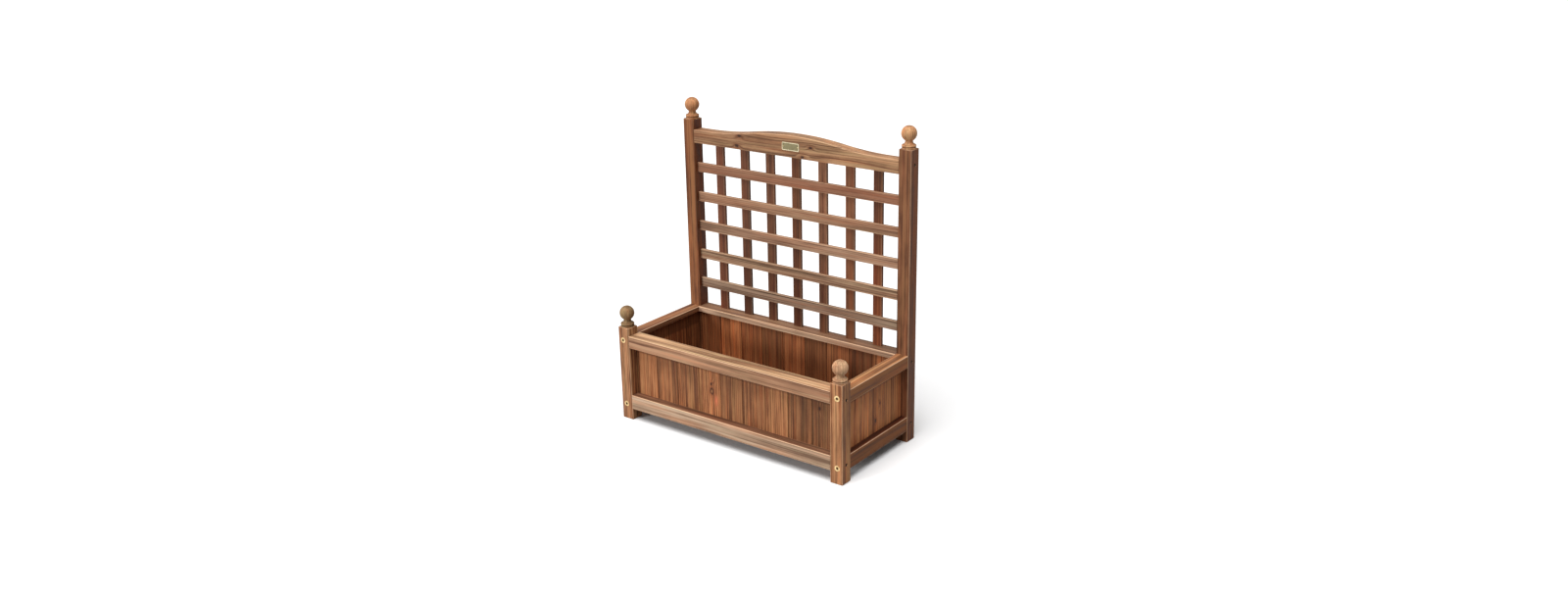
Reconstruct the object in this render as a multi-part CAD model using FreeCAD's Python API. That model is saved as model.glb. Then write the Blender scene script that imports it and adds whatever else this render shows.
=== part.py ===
"""Wooden planter box on four posts, with a slatted trellis and an arched rail at its back.

Millimetres. +X runs to the right along the width, +Y from the front to the back and +Z up.
The origin is the middle of the footprint, on the ground.
"""
import FreeCAD
import Part
import math
import os

from FreeCAD import Vector

# Posts
WIDTH = 660.0
DEPTH = 305.0
POST_SIDE = 33.0
FRONT_POST_HEIGHT = 240.0
REAR_POST_HEIGHT = 706.0
POST_EDGE_RADIUS = 2.0
POST_TOP_RADIUS = 1.5
FOOT_CHAMFER = 1.0

# Rails of the box. A ledge is the part of a rail that shows outside the boards, and the lip is the
# thinner part that closes the boards in, over their top ends or under their bottom ends.
FOOT_HEIGHT = 29.0
TOP_RAIL_DROP = 20.0
TOP_RAIL_HEIGHT = 30.0
BOTTOM_RAIL_HEIGHT = 36.0
RAIL_LIP = 13.5
LONG_RAIL_DEPTH = 40.0
LONG_RAIL_LEDGE = 24.0
SIDE_RAIL_RECESS = 1.2
SIDE_RAIL_LEDGE = 17.0
RAIL_EDGE_RADIUS = 1.5

# Upright boards of the four walls, joined by tongues and grooves
BOARD_THICKNESS = 9.5
LONG_WALL_BOARDS = 9
SIDE_WALL_BOARDS = 4
SIDE_BOARD_PITCH = 76.0
BOARD_BEVEL = 1.3
BOARD_JOINT_GAP = 0.4
BOARD_TOP_CLEARANCE = 0.5
BOARD_POST_CLEARANCE = 0.3
TONGUE_LENGTH = 4.5
TONGUE_THICKNESS = 3.0
TONGUE_CLEARANCE = 0.2

# Floor
FLOOR_BOARDS = 6
FLOOR_BOARD_THICKNESS = 10.0
FLOOR_BOARD_GAP = 5.0
FLOOR_CLEARANCE = 1.0
FLOOR_EDGE_RADIUS = 1.0
CLEAT_DEPTH = 15.0
CLEAT_END_CLEARANCE = 1.0
CLEAT_EDGE_RADIUS = 1.0

# Trellis: rows of flat slats in front of upright ones, let into the posts and the rails
TRELLIS_ROWS = 5
TRELLIS_COLUMNS = 7
SLAT_WIDTH = 24.0
SLAT_THICKNESS = 8.0
SLAT_SETBACK = 10.0
SLAT_EDGE_RADIUS = 0.8
SLAT_TENON = 6.0
MORTISE_CLEARANCE = 0.2
MORTISE_END_CLEARANCE = 0.5

# Arched rail between the rear posts
ARCH_DROP = 58.0
ARCH_END_HEIGHT = 32.5
ARCH_RISE = 20.0
ARCH_SHOULDER = 37.0
ARCH_EDGE_RADIUS = 1.5

# Bare nameplate on the arched rail
PLATE_WIDTH = 49.0
PLATE_HEIGHT = 19.0
PLATE_THICKNESS = 1.6
PLATE_FIELD_DEPTH = 0.5
PLATE_RIM_WIDTH = 1.6
PLATE_CORNER_RADIUS = 2.5
PLATE_RISE = 26.5

# Turned finials
FINIAL_HEIGHT = 52.0
BALL_DIAMETER = 36.0
NECK_DIAMETER = 18.0
BASE_DIAMETER = 32.6
BASE_HEIGHT = 3.4
BASE_EDGE_RADIUS = 0.8
GROOVE_DIAMETER = 27.0
GROOVE_HEIGHT = 1.2
COLLAR_DIAMETER = 33.4
COLLAR_HEIGHT = 5.0
COLLAR_TOP_DIAMETER = 28.0
DOWEL_DIAMETER = 8.0
DOWEL_POST_DEPTH = 20.0
DOWEL_FINIAL_DEPTH = 18.0
DOWEL_CHAMFER = 1.0

# Corner bolts with a hexagon socket, and the barrel nuts they pull on
BOLT_DIAMETER = 5.0
BOLT_LENGTH = 60.0
BOLT_HEAD_DIAMETER = 14.0
BOLT_HEAD_THICKNESS = 2.6
BOLT_SOCKET_ACROSS_FLATS = 4.0
BOLT_SOCKET_DEPTH = 2.0
BOLT_INSET = 14.0
TOP_BOLT_DROP = 13.0
BOTTOM_BOLT_RISE = 10.0
BARREL_DIAMETER = 8.0
BARREL_LENGTH = 16.0
BARREL_SETBACK = 22.0
BARREL_SLOT_WIDTH = 1.2
BARREL_SLOT_DEPTH = 1.5

# Countersunk screws and small nails
FRAME_SCREW_DIAMETER = 4.0
FRAME_SCREW_LENGTH = 58.0
FRAME_SCREW_HEAD_DIAMETER = 8.0
FRAME_SCREW_SINK = 1.0
TOP_SCREW_DROP = 19.0
BOTTOM_SCREW_RISE = 16.0
ARCH_SCREW_RISE = 22.0
CLEAT_SCREWS = 4
CLEAT_SCREW_DIAMETER = 3.5
CLEAT_SCREW_LENGTH = 28.0
CLEAT_SCREW_HEAD_DIAMETER = 7.0
CLEAT_SCREW_SINK = 0.5
SCREW_RECESS_SHARE = 0.6
SCREW_RECESS_WIDTH = 1.0
BRAD_DIAMETER = 1.6
BRAD_LENGTH = 13.0
BRAD_HEAD_DIAMETER = 2.6
PIN_DIAMETER = 1.6
PIN_LENGTH = 10.0
PIN_HEAD_DIAMETER = 3.2
PIN_HEAD_HEIGHT = 0.9
PIN_INSET = 3.8

# Gaps round the fasteners, on the radius and past the end
BOLT_HOLE_CLEARANCE = 0.2
THREAD_CLEARANCE = 0.05
HOLE_END_CLEARANCE = 1.0
OVERCUT = 2.0

# Places that several pieces share
INNER_HALF_WIDTH = WIDTH / 2 - POST_SIDE
INNER_HALF_DEPTH = DEPTH / 2 - POST_SIDE
POST_CENTRE_X = (WIDTH - POST_SIDE) / 2
POST_CENTRE_Y = (DEPTH - POST_SIDE) / 2
TOP_RAIL_TOP = FRONT_POST_HEIGHT - TOP_RAIL_DROP
TOP_RAIL_UNDERSIDE = TOP_RAIL_TOP - TOP_RAIL_HEIGHT
STEP_HEIGHT = FOOT_HEIGHT + RAIL_LIP
SIDE_RAIL_DEPTH = POST_SIDE - SIDE_RAIL_RECESS
ARCH_UNDERSIDE = REAR_POST_HEIGHT - ARCH_DROP
ROW_FRONT = INNER_HALF_DEPTH + SLAT_SETBACK
COLUMN_FRONT = ROW_FRONT + SLAT_THICKNESS
COLUMN_BACK = COLUMN_FRONT + SLAT_THICKNESS
BOLT_X = WIDTH / 2 - BOLT_INSET
TOP_BOLT_Z = TOP_RAIL_TOP - TOP_BOLT_DROP
BOTTOM_BOLT_Z = FOOT_HEIGHT + BOTTOM_BOLT_RISE
TOP_SCREW_Z = TOP_RAIL_TOP - TOP_SCREW_DROP
BOTTOM_SCREW_Z = FOOT_HEIGHT + BOTTOM_SCREW_RISE
ARCH_SCREW_Z = ARCH_UNDERSIDE + ARCH_SCREW_RISE
PLATE_Z = ARCH_UNDERSIDE + PLATE_RISE
PIN_X = PLATE_WIDTH / 2 - PIN_INSET

SIDES = {"left": -1, "right": 1}
ENDS = {"front": -1, "rear": 1}
UP = Vector(0, 0, 1)


# Shapes that the pieces are made of

def rounded_corner(before, point, after, radius):
    """Start, middle and end of the arc that rounds one corner of an outline."""
    back = (before - point).normalize()
    ahead = (after - point).normalize()
    inward = (back + ahead).normalize()
    half_angle = back.getAngle(ahead) / 2
    reach = radius / math.tan(half_angle)
    middle = point + inward * (radius / math.sin(half_angle) - radius)
    return point + back * reach, middle, point + ahead * reach


def rounded_prism(points, radii, run):
    """A straight bar: an outline whose corners have these radii, drawn out along run."""
    count = len(points)
    corners = []
    for i in range(count):
        corners.append(rounded_corner(points[i - 1], points[i], points[(i + 1) % count], radii[i]))
    edges = []
    for i in range(count):
        start, middle, end = corners[i]
        if radii[i] > 0:
            edges.append(Part.Arc(start, middle, end).toShape())
        edges.append(Part.makeLine(end, corners[(i + 1) % count][0]))
    return Part.Face(Part.Wire(edges)).extrude(run)


def bar(low, high, along, radius):
    """A bar between two opposite corners, with its four edges along one axis eased."""
    size = high - low
    spans = [Vector(size.x, 0, 0), Vector(0, size.y, 0), Vector(0, 0, size.z)]
    run = spans.pop("xyz".index(along))
    points = [low, low + spans[0], low + spans[0] + spans[1], low + spans[1]]
    return rounded_prism(points, [radius] * 4, run)


def turned(profile):
    """A solid of revolution about Z, from its half outline of (radius, height) points."""
    points = [Vector(radius, 0, height) for radius, height in profile]
    outline = Part.makePolygon(points + points[:1])
    return Part.Face(outline).revolve(Vector(0, 0, 0), UP, 360)


def placed(shape, position, direction):
    """The shape with its own origin at position and its own +Z along direction."""
    moved = shape.copy()
    moved.Placement = FreeCAD.Placement(position, FreeCAD.Rotation(UP, direction))
    return moved


def with_holes(blank, tools):
    """The blank as one solid, less all the tools."""
    return blank.cut(tools).Solids[0]


def box_between(low, high):
    size = high - low
    return Part.makeBox(size.x, size.y, size.z, low)


# Fasteners. Each has its head at its own origin and runs down along its own -Z.

def cross_recess(head_diameter, depth):
    """A cross in the top of a screw's head."""
    arm = head_diameter * SCREW_RECESS_SHARE / 2
    half = SCREW_RECESS_WIDTH / 2
    one = box_between(Vector(-arm, -half, -depth), Vector(arm, half, 0))
    other = box_between(Vector(-half, -arm, -depth), Vector(half, arm, 0))
    return one.fuse(other)


def countersunk_screw(diameter, length, head_diameter):
    """A screw with a 90 degree head and a tip as steep as the head."""
    radius = diameter / 2
    head_radius = head_diameter / 2
    head_height = head_radius - radius
    outline = [(0, 0), (head_radius, 0), (radius, -head_height), (radius, radius - length), (0, -length)]
    return with_holes(turned(outline), [cross_recess(head_diameter, head_height / 2)])


def countersunk_hole(diameter, length, head_diameter, sink):
    """The hole for a countersunk screw whose head lies this far under the face."""
    radius = diameter / 2 + THREAD_CLEARANCE
    head_radius = head_diameter / 2 + THREAD_CLEARANCE
    head_height = head_radius - radius
    top = sink + OVERCUT
    bottom = -length - HOLE_END_CLEARANCE
    return turned([(0, top), (head_radius, top), (head_radius, 0), (radius, -head_height),
                   (radius, bottom), (0, bottom)])


def hexagon_socket(across_flats, depth):
    corner_radius = across_flats / math.sqrt(3)
    points = []
    for i in range(6):
        angle = math.radians(60 * i)
        points.append(Vector(corner_radius * math.cos(angle), corner_radius * math.sin(angle), -depth))
    return rounded_prism(points, [0] * 6, Vector(0, 0, depth))


def corner_bolt():
    """A flat-headed bolt with a hexagon socket."""
    radius = BOLT_DIAMETER / 2
    head_radius = BOLT_HEAD_DIAMETER / 2
    end = -BOLT_HEAD_THICKNESS - BOLT_LENGTH
    blank = turned([(0, 0), (head_radius, 0), (head_radius, -BOLT_HEAD_THICKNESS),
                    (radius, -BOLT_HEAD_THICKNESS), (radius, end), (0, end)])
    return with_holes(blank, [hexagon_socket(BOLT_SOCKET_ACROSS_FLATS, BOLT_SOCKET_DEPTH)])


def bolt_hole():
    """A counterbore for the flush head, and the hole for the shank."""
    radius = BOLT_DIAMETER / 2 + BOLT_HOLE_CLEARANCE
    head_radius = BOLT_HEAD_DIAMETER / 2 + BOLT_HOLE_CLEARANCE
    end = -BOLT_HEAD_THICKNESS - BOLT_LENGTH - HOLE_END_CLEARANCE
    return turned([(0, OVERCUT), (head_radius, OVERCUT), (head_radius, -BOLT_HEAD_THICKNESS),
                   (radius, -BOLT_HEAD_THICKNESS), (radius, end), (0, end)])


def barrel_nut():
    """A round nut across the bolt, centred on its own origin, with a slot in its lower end."""
    low = Vector(0, 0, -BARREL_LENGTH / 2)
    blank = Part.makeCylinder(BARREL_DIAMETER / 2, BARREL_LENGTH, low, UP)
    bore_start = Vector(0, -BARREL_DIAMETER / 2, 0)
    bore_radius = BOLT_DIAMETER / 2 + THREAD_CLEARANCE
    bore = Part.makeCylinder(bore_radius, BARREL_DIAMETER, bore_start, Vector(0, 1, 0))
    half_slot = BARREL_SLOT_WIDTH / 2
    slot = box_between(low - Vector(BARREL_DIAMETER / 2, half_slot, 0),
                       low + Vector(BARREL_DIAMETER / 2, half_slot, BARREL_SLOT_DEPTH))
    return with_holes(blank, [bore, slot])


def brad():
    """A nail with a small flat head, set flush."""
    radius = BRAD_DIAMETER / 2
    head_radius = BRAD_HEAD_DIAMETER / 2
    head_end = radius - head_radius
    return turned([(0, 0), (head_radius, 0), (radius, head_end), (radius, radius - BRAD_LENGTH),
                   (0, -BRAD_LENGTH)])


def brad_hole():
    return countersunk_hole(BRAD_DIAMETER, BRAD_LENGTH, BRAD_HEAD_DIAMETER, 0)


def nameplate_pin():
    """A pin with a domed head, which stands on the plate."""
    radius = PIN_DIAMETER / 2
    head_radius = PIN_HEAD_DIAMETER / 2
    dome_radius = (head_radius ** 2 + PIN_HEAD_HEIGHT ** 2) / (2 * PIN_HEAD_HEIGHT)
    head = Part.makeSphere(dome_radius, Vector(0, 0, PIN_HEAD_HEIGHT - dome_radius))
    room = Part.makeCylinder(head_radius, PIN_HEAD_HEIGHT)
    shank = turned([(0, 0), (radius, 0), (radius, radius - PIN_LENGTH), (0, -PIN_LENGTH)])
    return head.common(room).fuse(shank).removeSplitter().Solids[0]


def pin_hole():
    radius = PIN_DIAMETER / 2 + THREAD_CLEARANCE
    end = -PIN_LENGTH - HOLE_END_CLEARANCE
    return turned([(0, OVERCUT), (radius, OVERCUT), (radius, end), (0, end)])


# Where the fasteners go

def frame_screw_places(side, end):
    """Places of the screws that hold one post to its long rails, along X."""
    heights = [BOTTOM_SCREW_Z, TOP_SCREW_Z]
    if end > 0:
        heights.append(ARCH_SCREW_Z)
    x = side * (WIDTH / 2 - FRAME_SCREW_SINK)
    return [Vector(x, end * POST_CENTRE_Y, z) for z in heights]


def frame_screw_holes(side, end):
    hole = countersunk_hole(FRAME_SCREW_DIAMETER, FRAME_SCREW_LENGTH, FRAME_SCREW_HEAD_DIAMETER,
                            FRAME_SCREW_SINK)
    return [placed(hole, place, Vector(side, 0, 0)) for place in frame_screw_places(side, end)]


def bolt_places(side, end):
    """Places of the bolts that hold one post to its side rails, along Y."""
    heights = [BOTTOM_BOLT_Z, TOP_BOLT_Z]
    return [Vector(side * BOLT_X, end * DEPTH / 2, z) for z in heights]


def bolt_holes(side, end):
    return [placed(bolt_hole(), place, Vector(0, end, 0)) for place in bolt_places(side, end)]


def barrel_place(side, end, height):
    return Vector(side * BOLT_X, end * (INNER_HALF_DEPTH - BARREL_SETBACK), height)


def barrel_hole(side, end, height, rail_underside):
    """The hole that a barrel nut goes up through, from under a side rail."""
    place = barrel_place(side, end, height)
    bottom = rail_underside - OVERCUT
    top = height + BARREL_LENGTH / 2 + THREAD_CLEARANCE
    radius = BARREL_DIAMETER / 2 + THREAD_CLEARANCE
    return Part.makeCylinder(radius, top - bottom, Vector(place.x, place.y, bottom), UP)


def cleat_screw_places(end):
    """Evenly spaced places on a cleat's inner face."""
    pitch = 2 * INNER_HALF_WIDTH / CLEAT_SCREWS
    y = end * (DEPTH / 2 - LONG_RAIL_DEPTH - CLEAT_DEPTH + CLEAT_SCREW_SINK)
    z = FOOT_HEIGHT + RAIL_LIP / 2
    return [Vector((i - (CLEAT_SCREWS - 1) / 2) * pitch, y, z) for i in range(CLEAT_SCREWS)]


def cleat_screw_holes(end):
    hole = countersunk_hole(CLEAT_SCREW_DIAMETER, CLEAT_SCREW_LENGTH, CLEAT_SCREW_HEAD_DIAMETER,
                            CLEAT_SCREW_SINK)
    return [placed(hole, place, Vector(0, -end, 0)) for place in cleat_screw_places(end)]


def column_x(column):
    """Centre of an upright slat: all the gaps between them are equal."""
    gap = (2 * INNER_HALF_WIDTH - TRELLIS_COLUMNS * SLAT_WIDTH) / (TRELLIS_COLUMNS + 1)
    return (column - (TRELLIS_COLUMNS - 1) / 2) * (SLAT_WIDTH + gap)


def row_z(row):
    """Centre height of a flat slat, counted from the top: all the gaps are equal."""
    gap = (ARCH_UNDERSIDE - TOP_RAIL_TOP - TRELLIS_ROWS * SLAT_WIDTH) / (TRELLIS_ROWS + 1)
    return ARCH_UNDERSIDE - (row + 1) * (SLAT_WIDTH + gap) + SLAT_WIDTH / 2


def brad_place(column, row):
    return Vector(column_x(column), COLUMN_BACK, row_z(row))


def nameplate_pin_places():
    y = INNER_HALF_DEPTH - PLATE_THICKNESS + PLATE_FIELD_DEPTH
    return [Vector(side * PIN_X, y, PLATE_Z) for side in SIDES.values()]


def nameplate_pin_holes():
    return [placed(pin_hole(), place, Vector(0, -1, 0)) for place in nameplate_pin_places()]


# Posts and finials

def post_height(end):
    return REAR_POST_HEIGHT if end > 0 else FRONT_POST_HEIGHT


def post(side, end):
    """A square post with eased edges, and the holes and mortises for all that it carries."""
    height = post_height(end)
    half = POST_SIDE / 2
    centre = Vector(side * POST_CENTRE_X, end * POST_CENTRE_Y, 0)
    blank = bar(centre - Vector(half, half, 0), centre + Vector(half, half, height), "z", POST_EDGE_RADIUS)
    top_edges = [edge for edge in blank.Edges if edge.BoundBox.ZMin > height - OVERCUT]
    blank = blank.makeFillet(POST_TOP_RADIUS, top_edges)
    foot_edges = [edge for edge in blank.Edges if edge.BoundBox.ZMax < OVERCUT]
    blank = blank.makeChamfer(FOOT_CHAMFER, foot_edges)
    tools = frame_screw_holes(side, end) + bolt_holes(side, end) + [dowel_hole(side, end)]
    if end > 0:
        tools += [row_mortises(row) for row in range(TRELLIS_ROWS)]
    return with_holes(blank, tools)


def dowel_solid(radius, below, above):
    return Part.makeCylinder(radius, below + above, Vector(0, 0, -below), UP)


def finial_seat(side, end):
    """Middle of a post's top, where its finial stands."""
    return Vector(side * POST_CENTRE_X, end * POST_CENTRE_Y, post_height(end))


def dowel_hole(side, end):
    radius = DOWEL_DIAMETER / 2 + THREAD_CLEARANCE
    hole = dowel_solid(radius, DOWEL_POST_DEPTH + HOLE_END_CLEARANCE,
                       DOWEL_FINIAL_DEPTH + HOLE_END_CLEARANCE)
    return placed(hole, finial_seat(side, end), UP)


def finial_dowel(side, end):
    pin = dowel_solid(DOWEL_DIAMETER / 2, DOWEL_POST_DEPTH, DOWEL_FINIAL_DEPTH)
    rims = [edge for edge in pin.Edges if edge.isClosed()]
    return placed(pin.makeChamfer(DOWEL_CHAMFER, rims), finial_seat(side, end), UP)


def finial(side, end):
    """A ball on a flared neck, a rounded collar, a groove and a base disc, turned in one piece."""
    ball_radius = BALL_DIAMETER / 2
    ball_centre = FINIAL_HEIGHT - ball_radius
    neck_radius = NECK_DIAMETER / 2
    neck_height = ball_centre - math.sqrt(ball_radius ** 2 - neck_radius ** 2)
    base_radius = BASE_DIAMETER / 2
    groove_radius = GROOVE_DIAMETER / 2
    groove_top = BASE_HEIGHT + GROOVE_HEIGHT
    collar_top = groove_top + COLLAR_HEIGHT
    collar_top_radius = COLLAR_TOP_DIAMETER / 2
    lathe = lambda radius, height: Vector(radius, 0, height)
    flare_chord = lathe(neck_radius, neck_height) - lathe(collar_top_radius, collar_top)
    flare_middle = lathe(collar_top_radius, collar_top) + flare_chord * 0.5
    flare_bulge = Vector(-flare_chord.z, 0, flare_chord.x).normalize() * (flare_chord.Length / 6)
    edges = [
        Part.makeLine(lathe(0, 0), lathe(base_radius - BASE_EDGE_RADIUS, 0)),
        Part.makeLine(lathe(base_radius - BASE_EDGE_RADIUS, 0), lathe(base_radius, BASE_EDGE_RADIUS)),
        Part.makeLine(lathe(base_radius, BASE_EDGE_RADIUS), lathe(base_radius, BASE_HEIGHT)),
        Part.makeLine(lathe(base_radius, BASE_HEIGHT), lathe(groove_radius, BASE_HEIGHT)),
        Part.makeLine(lathe(groove_radius, BASE_HEIGHT), lathe(groove_radius, groove_top)),
        Part.makeLine(lathe(groove_radius, groove_top), lathe(collar_top_radius, groove_top)),
        Part.Arc(lathe(collar_top_radius, groove_top),
                 lathe(COLLAR_DIAMETER / 2, (groove_top + collar_top) / 2),
                 lathe(collar_top_radius, collar_top)).toShape(),
        Part.Arc(lathe(collar_top_radius, collar_top), flare_middle + flare_bulge,
                 lathe(neck_radius, neck_height)).toShape(),
        Part.Arc(lathe(neck_radius, neck_height), lathe(ball_radius, ball_centre),
                 lathe(0, FINIAL_HEIGHT)).toShape(),
        Part.makeLine(lathe(0, FINIAL_HEIGHT), lathe(0, 0)),
    ]
    blank = Part.Face(Part.Wire(edges)).revolve(Vector(0, 0, 0), UP, 360)
    return with_holes(placed(blank, finial_seat(side, end), UP), [dowel_hole(side, end)])


# Rails of the box

def top_rail_section(depth, ledge):
    """Half outline of a top rail as (depth from the outer face, height) points, and corner radii."""
    lip_underside = TOP_RAIL_TOP - RAIL_LIP
    points = [(0, TOP_RAIL_UNDERSIDE), (0, TOP_RAIL_TOP), (depth, TOP_RAIL_TOP), (depth, lip_underside),
              (ledge, lip_underside), (ledge, TOP_RAIL_UNDERSIDE)]
    eased = RAIL_EDGE_RADIUS
    return points, [eased, eased, eased, eased, 0, 0]


def bottom_rail_section(depth, ledge):
    """The same for a bottom rail, whose lip is a step under the boards."""
    top = FOOT_HEIGHT + BOTTOM_RAIL_HEIGHT
    points = [(0, FOOT_HEIGHT), (0, top), (ledge, top), (ledge, STEP_HEIGHT), (depth, STEP_HEIGHT),
              (depth, FOOT_HEIGHT)]
    eased = RAIL_EDGE_RADIUS
    return points, [eased, eased, 0, 0, 0, eased]


def long_rail(end, section):
    """A front or rear rail, between the faces of two posts."""
    outline, radii = section(LONG_RAIL_DEPTH, LONG_RAIL_LEDGE)
    points = [Vector(-INNER_HALF_WIDTH, end * (DEPTH / 2 - depth), z) for depth, z in outline]
    return rounded_prism(points, radii, Vector(2 * INNER_HALF_WIDTH, 0, 0))


def side_rail(side, section):
    """A side rail, a little inside the posts' outer faces and flush with their inner ones."""
    outline, radii = section(SIDE_RAIL_DEPTH, SIDE_RAIL_LEDGE)
    outer = WIDTH / 2 - SIDE_RAIL_RECESS
    points = [Vector(side * (outer - depth), -INNER_HALF_DEPTH, z) for depth, z in outline]
    return rounded_prism(points, radii, Vector(0, 2 * INNER_HALF_DEPTH, 0))


def long_top_rail(end):
    tools = frame_screw_holes(-1, end) + frame_screw_holes(1, end)
    if end > 0:
        tools += [column_mortises(column) for column in range(TRELLIS_COLUMNS)]
    return with_holes(long_rail(end, top_rail_section), tools)


def long_bottom_rail(end):
    tools = frame_screw_holes(-1, end) + frame_screw_holes(1, end) + cleat_screw_holes(end)
    return with_holes(long_rail(end, bottom_rail_section), tools)


def side_top_rail(side):
    tools = bolt_holes(side, -1) + bolt_holes(side, 1)
    tools += [barrel_hole(side, end, TOP_BOLT_Z, TOP_RAIL_UNDERSIDE) for end in ENDS.values()]
    return with_holes(side_rail(side, top_rail_section), tools)


def side_bottom_rail(side):
    tools = bolt_holes(side, -1) + bolt_holes(side, 1)
    tools += [barrel_hole(side, end, BOTTOM_BOLT_Z, FOOT_HEIGHT) for end in ENDS.values()]
    return with_holes(side_rail(side, bottom_rail_section), tools)


# Boards of the walls

def board_outline(start, stop, has_groove, has_tongue):
    """Plan of an upright board as (place along the wall, depth from its outer face) points."""
    back = BOARD_THICKNESS
    bevel = BOARD_BEVEL
    tongue_front = (BOARD_THICKNESS - TONGUE_THICKNESS) / 2
    tongue_back = tongue_front + TONGUE_THICKNESS
    points = [(start, back - bevel), (start + bevel, back), (stop - bevel, back), (stop, back - bevel)]
    if has_tongue:
        tip = stop + TONGUE_LENGTH
        points += [(stop, tongue_back), (tip, tongue_back), (tip, tongue_front), (stop, tongue_front)]
    points += [(stop, bevel), (stop - bevel, 0), (start + bevel, 0), (start, bevel)]
    if has_groove:
        groove_front = tongue_front - TONGUE_CLEARANCE
        groove_back = tongue_back + TONGUE_CLEARANCE
        bottom = start + TONGUE_LENGTH - BOARD_JOINT_GAP + TONGUE_CLEARANCE
        points += [(start, groove_front), (bottom, groove_front), (bottom, groove_back),
                   (start, groove_back)]
    return points


def wall_joints(half_length, inner_joints):
    """Places along a wall where its boards start and stop, with a little room beside the posts."""
    outermost = half_length - BOARD_POST_CLEARANCE + BOARD_JOINT_GAP / 2
    return [-outermost] + inner_joints + [outermost]


def wall_board(joints, index, plan):
    """One board of a wall, from the bottom rail's step to just under the top rail's lip."""
    start = joints[index] + BOARD_JOINT_GAP / 2
    stop = joints[index + 1] - BOARD_JOINT_GAP / 2
    is_last = index == len(joints) - 2
    outline = board_outline(start, stop, index > 0, not is_last)
    points = [plan(along, depth) for along, depth in outline]
    height = TOP_RAIL_TOP - RAIL_LIP - BOARD_TOP_CLEARANCE - STEP_HEIGHT
    return rounded_prism(points, [0] * len(points), Vector(0, 0, height))


def long_wall_board(end, index):
    pitch = 2 * INNER_HALF_WIDTH / LONG_WALL_BOARDS
    inner_joints = [(i - LONG_WALL_BOARDS / 2) * pitch for i in range(1, LONG_WALL_BOARDS)]
    outer = DEPTH / 2 - LONG_RAIL_LEDGE
    plan = lambda along, depth: Vector(along, end * (outer - depth), STEP_HEIGHT)
    return wall_board(wall_joints(INNER_HALF_WIDTH, inner_joints), index, plan)


def side_wall_boards(side):
    """The boards of one side wall: the middle ones are full width, the end ones are cut to fit."""
    inner_joints = [(i - SIDE_WALL_BOARDS / 2) * SIDE_BOARD_PITCH for i in range(1, SIDE_WALL_BOARDS)]
    joints = wall_joints(INNER_HALF_DEPTH, inner_joints)
    outer = WIDTH / 2 - SIDE_RAIL_RECESS - SIDE_RAIL_LEDGE
    plan = lambda along, depth: Vector(side * (outer - depth), along, STEP_HEIGHT)
    return Part.makeCompound([wall_board(joints, i, plan) for i in range(SIDE_WALL_BOARDS)])


# Floor

def floor_boards():
    """Loose boards across the box, with gaps for water, on the rails' steps and the cleats."""
    half_length = DEPTH / 2 - LONG_RAIL_LEDGE - BOARD_THICKNESS - FLOOR_CLEARANCE
    half_span = WIDTH / 2 - SIDE_RAIL_RECESS - SIDE_RAIL_LEDGE - BOARD_THICKNESS - FLOOR_CLEARANCE
    pitch = (2 * half_span + FLOOR_BOARD_GAP) / FLOOR_BOARDS
    top = STEP_HEIGHT + FLOOR_BOARD_THICKNESS
    boards = []
    for i in range(FLOOR_BOARDS):
        start = -half_span + i * pitch
        low = Vector(start, -half_length, STEP_HEIGHT)
        high = Vector(start + pitch - FLOOR_BOARD_GAP, half_length, top)
        boards.append(bar(low, high, "y", FLOOR_EDGE_RADIUS))
    return Part.makeCompound(boards)


def floor_cleat(end):
    """A batten along a bottom rail's inner face, level with the rail's step."""
    half_length = INNER_HALF_WIDTH - CLEAT_END_CLEARANCE
    outer = DEPTH / 2 - LONG_RAIL_DEPTH
    near = min(end * outer, end * (outer - CLEAT_DEPTH))
    low = Vector(-half_length, near, FOOT_HEIGHT)
    high = Vector(half_length, near + CLEAT_DEPTH, STEP_HEIGHT)
    return with_holes(bar(low, high, "x", CLEAT_EDGE_RADIUS), cleat_screw_holes(end))


# Trellis

def row_slat(row):
    """A flat slat across the front of the trellis, with its ends let into the rear posts."""
    reach = INNER_HALF_WIDTH + SLAT_TENON
    half = SLAT_WIDTH / 2
    low = Vector(-reach, ROW_FRONT, row_z(row) - half)
    high = Vector(reach, ROW_FRONT + SLAT_THICKNESS, row_z(row) + half)
    holes = [placed(brad_hole(), brad_place(column, row), Vector(0, 1, 0))
             for column in range(TRELLIS_COLUMNS)]
    return with_holes(bar(low, high, "x", SLAT_EDGE_RADIUS), holes)


def column_slat(column):
    """An upright slat behind the rows, let into the rear top rail and the arched rail."""
    half = SLAT_WIDTH / 2
    low = Vector(column_x(column) - half, COLUMN_FRONT, TOP_RAIL_TOP - SLAT_TENON)
    high = Vector(column_x(column) + half, COLUMN_BACK, ARCH_UNDERSIDE + SLAT_TENON)
    holes = [placed(brad_hole(), brad_place(column, row), Vector(0, 1, 0))
             for row in range(TRELLIS_ROWS)]
    return with_holes(bar(low, high, "z", SLAT_EDGE_RADIUS), holes)


def row_mortises(row):
    """The room for one flat slat, which reaches into both rear posts."""
    reach = INNER_HALF_WIDTH + SLAT_TENON + MORTISE_END_CLEARANCE
    half = SLAT_WIDTH / 2 + MORTISE_CLEARANCE
    low = Vector(-reach, ROW_FRONT - MORTISE_CLEARANCE, row_z(row) - half)
    high = Vector(reach, COLUMN_FRONT + MORTISE_CLEARANCE, row_z(row) + half)
    return box_between(low, high)


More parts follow.
